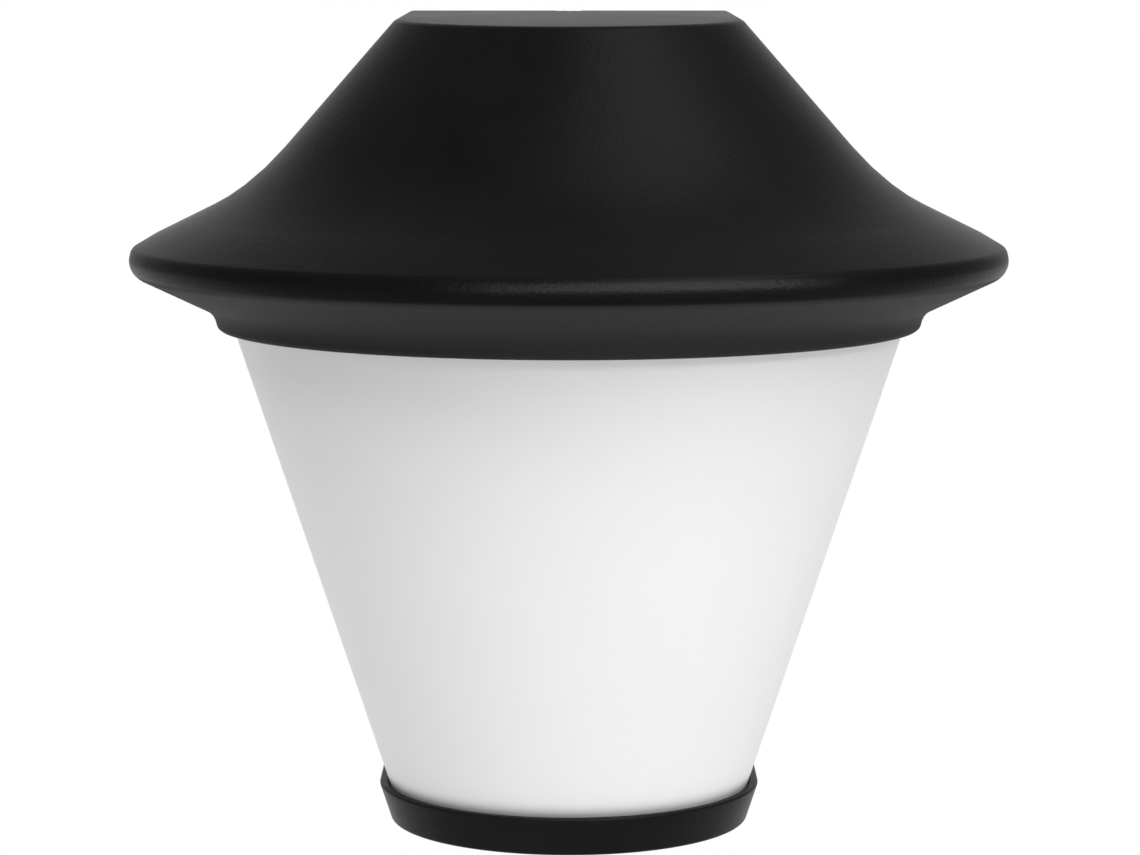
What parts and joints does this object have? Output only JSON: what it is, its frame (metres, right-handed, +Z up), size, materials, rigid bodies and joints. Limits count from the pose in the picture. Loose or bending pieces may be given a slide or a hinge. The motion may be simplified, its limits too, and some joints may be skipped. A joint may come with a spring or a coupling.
{
  "type": "outdoor wall light",
  "caption": "Half-lantern outdoor wall light with a flared black hood, a tapered opal shade and a black foot cup, opened from below to change the bulb.",
  "frame": {"origin": "middle of the wall fixing, on the wall plane at the back of the foam pad", "axes": "+Z up, +Y into the wall, the light's front faces -Y, +X to the right seen from the front"},
  "size_m": [0.2322, 0.1661, 0.2235],
  "materials": {
    "foam": "closed-cell foam, matte",
    "white_steel": "white stove enamel on pressed steel, satin",
    "rubber": "moulded black rubber",
    "terminal_plastic": "natural white polyamide",
    "brass": "turned brass",
    "zinc_steel": "zinc-plated steel",
    "stainless": "stainless steel",
    "lead_green": "green and yellow insulation",
    "lead_brown": "brown insulation",
    "lead_blue": "blue insulation",
    "holder_white": "white moulded thermoset",
    "porcelain": "unglazed porcelain",
    "black_coat": "black fine-texture powder coat on cast aluminium",
    "opal": "opal white polycarbonate, satin",
    "solder": "dull solder",
    "black_glass": "black vitrified insulator",
    "nickel": "nickel-plated screw cap",
    "bulb_white": "white moulded plastic",
    "driver_board": "green circuit board",
    "board_aluminium": "aluminium-backed board",
    "bulb_opal": "opal plastic globe"
  },
  "bodies": {
    "wall_mount": {"wall_pad": "foam", "wall_plate": "white_steel", "cable_grommet": "rubber", "terminal_block": "terminal_plastic", "terminal_sleeves": "brass", "terminal_screws": "zinc_steel", "block_screws": "zinc_steel", "earth_screw": "brass", "earth_washer": "zinc_steel", "earth_lead": "lead_green", "live_lead": "lead_brown", "neutral_lead": "lead_blue", "holder_arm": "zinc_steel", "arm_rivets": "zinc_steel", "threaded_tube": "brass", "tube_nut": "zinc_steel", "holder_cap": "holder_white", "holder_sleeve": "holder_white", "holder_insulator": "porcelain", "screw_shell": "brass", "foot_nut": "zinc_steel"},
    "hood": {"hood": "black_coat", "hood_screws": "stainless", "reflector_tray": "white_steel", "tray_screws": "zinc_steel", "shade_seal": "rubber"},
    "shade": {"opal_shade": "opal", "foot_cup": "black_coat", "foot_strip": "rubber"},
    "screw_washer": {"screw_washer": "rubber"},
    "foot_screw": {"foot_screw": "black_coat"},
    "bulb_tip": {"bulb_tip": "solder"},
    "bulb": {"bulb_insulator": "black_glass", "bulb_screw_cap": "nickel", "bulb_housing": "bulb_white", "led_driver": "driver_board", "led_board": "board_aluminium", "bulb_globe": "bulb_opal"},
    "centre_contact": {"centre_contact": "brass"}
  },
  "joints": [
    {"name": "hood_lift", "type": "slide", "parent": "wall_mount", "child": "hood", "axis": [0, 0, 1], "range_m": [0, 0.009]},
    {"name": "shade_drop", "type": "slide", "parent": "wall_mount", "child": "shade", "axis": [0, 0, -1], "range_m": [0, 0.085]},
    {"name": "foot_screw_travel", "type": "slide", "parent": "shade", "child": "screw_washer", "axis": [0, 0, -1], "range_m": [0, 0.0046]},
    {"name": "foot_screw_turn", "type": "hinge", "parent": "screw_washer", "child": "foot_screw", "pos_m": [0, -0.048, -0.172], "axis": [0, 0, -1], "range_deg": [0, 1620]},
    {"name": "bulb_travel", "type": "slide", "parent": "wall_mount", "child": "bulb_tip", "axis": [0, 0, -1], "range_m": [0, 0.011]},
    {"name": "bulb_turn", "type": "hinge", "parent": "bulb_tip", "child": "bulb", "pos_m": [0, -0.05, 0], "axis": [0, 0, -1], "range_deg": [0, 1080]},
    {"name": "contact_flex", "type": "hinge", "parent": "wall_mount", "child": "centre_contact", "pos_m": [0.006, -0.05, 0.00265], "axis": [0, 1, 0], "range_deg": [0, 12], "stiffness_Nm_per_rad": 0.01}
  ],
  "couplings": [
    {"joint": "foot_screw_travel", "follows": "foot_screw_turn", "m_per_rad": 0.00015915},
    {"joint": "bulb_travel", "follows": "bulb_turn", "m_per_rad": 0.00057757}
  ]
}
